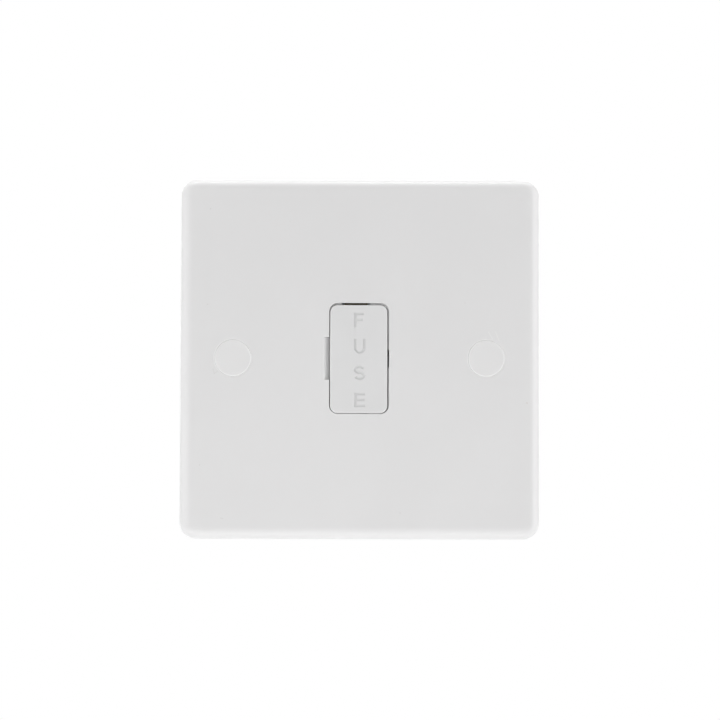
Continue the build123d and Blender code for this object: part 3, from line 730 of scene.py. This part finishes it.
    spots = linked("GeometryNodeMeshGrid", {"Size X": given["Column spacing"], "Size Y": given["Row spacing"],
                                            "Vertices X": given["Columns"], "Vertices Y": given["Rows"]})
    screws = linked("GeometryNodeInstanceOnPoints", {"Points": spots.outputs["Mesh"],
                                                     "Instance": screw.outputs["Mesh"]})
    stood = linked("GeometryNodeTransform", {"Geometry": screws.outputs["Instances"],
                                             "Translation": given["Place"],
                                             "Rotation": (-math.pi / 2, 0.0, 0.0)})
    real = linked("GeometryNodeRealizeInstances", {"Geometry": stood.outputs["Geometry"]})
    finished = linked("GeometryNodeSetMaterial", {"Geometry": real.outputs["Geometry"],
                                                  "Material": given["Finish"]})
    tree.links.new(finished.outputs["Geometry"], out["Geometry"])
    return tree


def growScrews(name, tree, kind, slot, replaced):
    corners = [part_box(node) for node in replaced]
    low = Vector([min(box[0][axis] for box in corners) for axis in range(3)])
    high = Vector([max(box[1][axis] for box in corners) for axis in range(3)])
    across, along = high.x - low.x - kind["Head diameter"], high.z - low.z - kind["Head diameter"]
    several = len(replaced) > 1
    values = dict(kind)
    values.update({
        "Shank length": high.y - low.y - kind["Head height"], "Sides": screwMesh["sides"],
        "Rows in a turn": screwMesh["rowsInTurn"],
        "Columns": 2 if several else 1, "Rows": 2 if several else 1, "Column spacing": max(across, 0.0),
        "Row spacing": max(along, 0.0), "Finish": materials[slot],
        "Place": ((low.x + high.x) / 2, low.y, (low.z + high.z) / 2),
    })
    blank = addObject(name, bpy.data.meshes.new(name))
    grow = blank.modifiers.new("threadedScrew", "NODES")
    grow.node_group = tree
    for socket in tree.interface.items_tree:
        if socket.in_out == "INPUT":
            grow[socket.identifier] = values[socket.name]
    mesh = flattenShading(bakeModifiers(blank), smoothWithin["screw"])
    linkPiece(name, mesh, slot, bodyOf[replaced[0]], replaced)


screwTree = makeScrewTree()
housingScrews = [name for name in nodes if name.startswith("housing_screw")]
growScrews("housingScrews", screwTree, screwKinds["housing"], "zinc_steel", housingScrews)
for name in nodes:
    if name.endswith("_screw"):
        growScrews(name + "Threaded", screwTree, screwKinds["terminal"], "terminal_screw", [name])
print("screws threaded")


# Camera, from the photograph's own perspective: turned a little, and slightly below the plate

view = {"azimuth": 0.227, "elevation": -3.263, "roll": -0.157, "distance": 0.71289,
        "target": (0.000051, 0.0, 0.000112), "lens": 147.99, "sensor": 36.0, "clip": (0.05, 20.0)}


def makeCamera(look):
    turn, lift = math.radians(look["azimuth"]), math.radians(look["elevation"])
    back = Vector((math.sin(turn) * math.cos(lift), -math.cos(turn) * math.cos(lift), math.sin(lift)))
    data = bpy.data.cameras.new("photoCamera")
    data.lens, data.sensor_width = look["lens"], look["sensor"]
    data.clip_start, data.clip_end = look["clip"]
    camera = addObject("photoCamera", data)
    facing = (-back).to_track_quat("-Z", "Y").to_matrix().to_4x4()
    camera.matrix_world = (Matrix.Translation(Vector(look["target"]) + back * look["distance"]) @ facing
                           @ Matrix.Rotation(math.radians(-look["roll"]), 4, "Z"))
    bpy.context.scene.camera = camera


# Soft boxes round the front, a dim world for the object and a white one for the camera

lamps = {
    "leftPanel": {"place": (-0.737, -0.516, 0.0), "size": (1.51, 1.26), "power": 7.6},
    "rightPanel": {"place": (0.869, -0.233, 0.0), "size": (0.66, 1.26), "power": 6.0},
    "topBox": {"place": (0.0, 0.089, 0.845), "size": (1.19, 0.49), "power": 5.3},
    "topFill": {"place": (0.0, -0.29, 0.80), "size": (1.19, 0.30), "power": 0.6},
    "bounceBoard": {"place": (0.0, -0.06, -0.29), "size": (0.70, 0.46), "power": 0.80},
    "rearPanel": {"place": (0.0, 1.30, 0.45), "size": (1.4, 0.8), "power": 3.4},
}
stageLook = {"floorHeight": -0.30, "floorSize": 6.0, "floorColour": (0.84, 0.84, 0.84), "floorShade": 0.985,
             "floorGrain": 60.0, "floorRough": 0.9, "worldLight": 0.38, "fadeFrom": 0.12, "fadeTo": 0.62,
             "glow": 0.55}


def makeLamp(name, look):
    data = bpy.data.lights.new(name, "AREA")
    data.shape = "RECTANGLE"
    data.size, data.size_y = look["size"]
    data.energy = look["power"]
    lamp = addObject(name, data)
    place = Vector(look["place"])
    lamp.visible_camera = False
    lamp.matrix_world = Matrix.Translation(place) @ (-place).to_track_quat("-Z", "Y").to_matrix().to_4x4()


def whiteForCamera(tree, path):
    seen = mathNode(tree, "MAXIMUM", path.outputs["Is Camera Ray"], path.outputs["Is Glossy Ray"])
    return mathNode(tree, "MAXIMUM", seen, path.outputs["Is Transmission Ray"])


def makeWorld(look):
    world = bpy.data.worlds.new("paleStudio")
    world.use_nodes = True
    tree = world.node_tree
    background = tree.nodes["Background"]
    background.inputs["Color"].default_value = (1.0, 1.0, 1.0, 1.0)
    seen = whiteForCamera(tree, addNode(tree, "ShaderNodeLightPath"))
    tree.links.new(rampNode(tree, seen, 0.0, 1.0, look["worldLight"], 1.0), background.inputs["Strength"])
    bpy.context.scene.world = world


def makeFloor(look):
    half = look["floorSize"] / 2
    mesh = bpy.data.meshes.new("paleFloor")
    corners = [(x * half, y * half, look["floorHeight"]) for x, y in ((-1, -1), (1, -1), (1, 1), (-1, 1))]
    mesh.from_pydata(corners, [], [(0, 1, 2, 3)])
    floor = addObject("paleFloor", mesh)
    material, tree, shader = newMaterial("paleFloor")
    grain = addNode(tree, "ShaderNodeTexNoise", {"Scale": look["floorGrain"], "Detail": 4.0})
    tree.links.new(objectPlace(tree), grain.inputs["Vector"])
    tint = tuple(channel * look["floorShade"] for channel in look["floorColour"])
    colour = mixColour(tree, grain.outputs["Fac"], tint, look["floorColour"])
    tree.links.new(colour, shader.inputs["Base Color"])
    shader.inputs["Roughness"].default_value = look["floorRough"]
    # Seen directly or in gloss, the floor fades to white away from the object, and keeps its shadow near it
    away = addNode(tree, "ShaderNodeVectorMath", operation="LENGTH")
    tree.links.new(objectPlace(tree), away.inputs[0])
    fade = rampNode(tree, away.outputs["Value"], look["fadeFrom"], look["fadeTo"], look["glow"], 1.0)
    share = product(tree, fade, whiteForCamera(tree, addNode(tree, "ShaderNodeLightPath")))
    white = addNode(tree, "ShaderNodeEmission", {"Strength": 1.0})
    blend = addNode(tree, "ShaderNodeMixShader")
    tree.links.new(share, blend.inputs["Fac"])
    tree.links.new(shader.outputs["BSDF"], blend.inputs[1])
    tree.links.new(white.outputs["Emission"], blend.inputs[2])
    tree.links.new(blend.outputs["Shader"], tree.nodes["Material Output"].inputs["Surface"])
    mesh.materials.append(material)


makeCamera(view)
for lampName, lampLook in lamps.items():
    makeLamp(lampName, lampLook)
makeWorld(stageLook)
makeFloor(stageLook)
bpy.context.scene.view_settings.view_transform = "Standard"
print("camera, lamps and floor: set")
